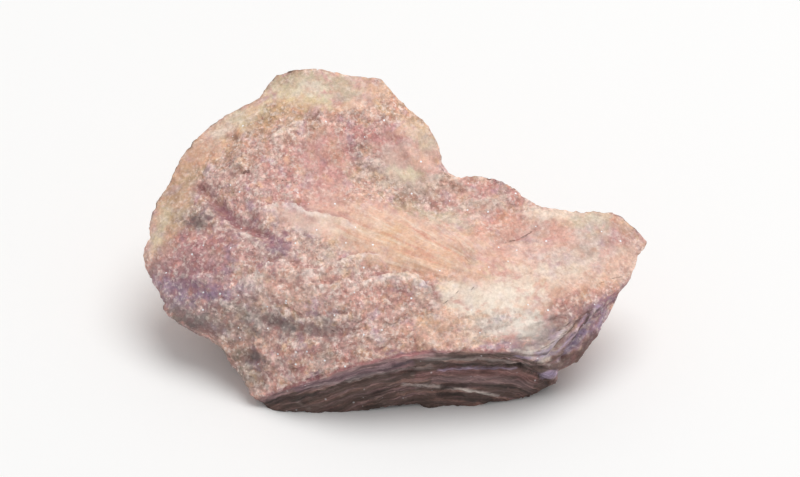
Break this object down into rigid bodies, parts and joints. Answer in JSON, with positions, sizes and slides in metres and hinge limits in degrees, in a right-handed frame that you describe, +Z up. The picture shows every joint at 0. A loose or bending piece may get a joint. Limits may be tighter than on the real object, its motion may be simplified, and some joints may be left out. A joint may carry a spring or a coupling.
{
  "type": "rhodonite specimen",
  "caption": "Rough pink rhodonite hand specimen: a broken, foliated lump with a leaning display face, layered dark flanks and a rough underside to lie on.",
  "frame": {"origin": "middle of the bounding box, on the surface that the stone lies on", "axes": "+X along the specimen's length, +Y from the layered front flank to the back, +Z up"},
  "size_m": [0.1278, 0.0766, 0.0555],
  "materials": {
    "rhodonite": "rough sugary pink rock, peach and cream in bands, with mauve, grey-green and dark brown patches and tiny glinting grains"
  },
  "bodies": {
    "root": {"rhodonite_stone": "rhodonite"}
  },
  "joints": []
}
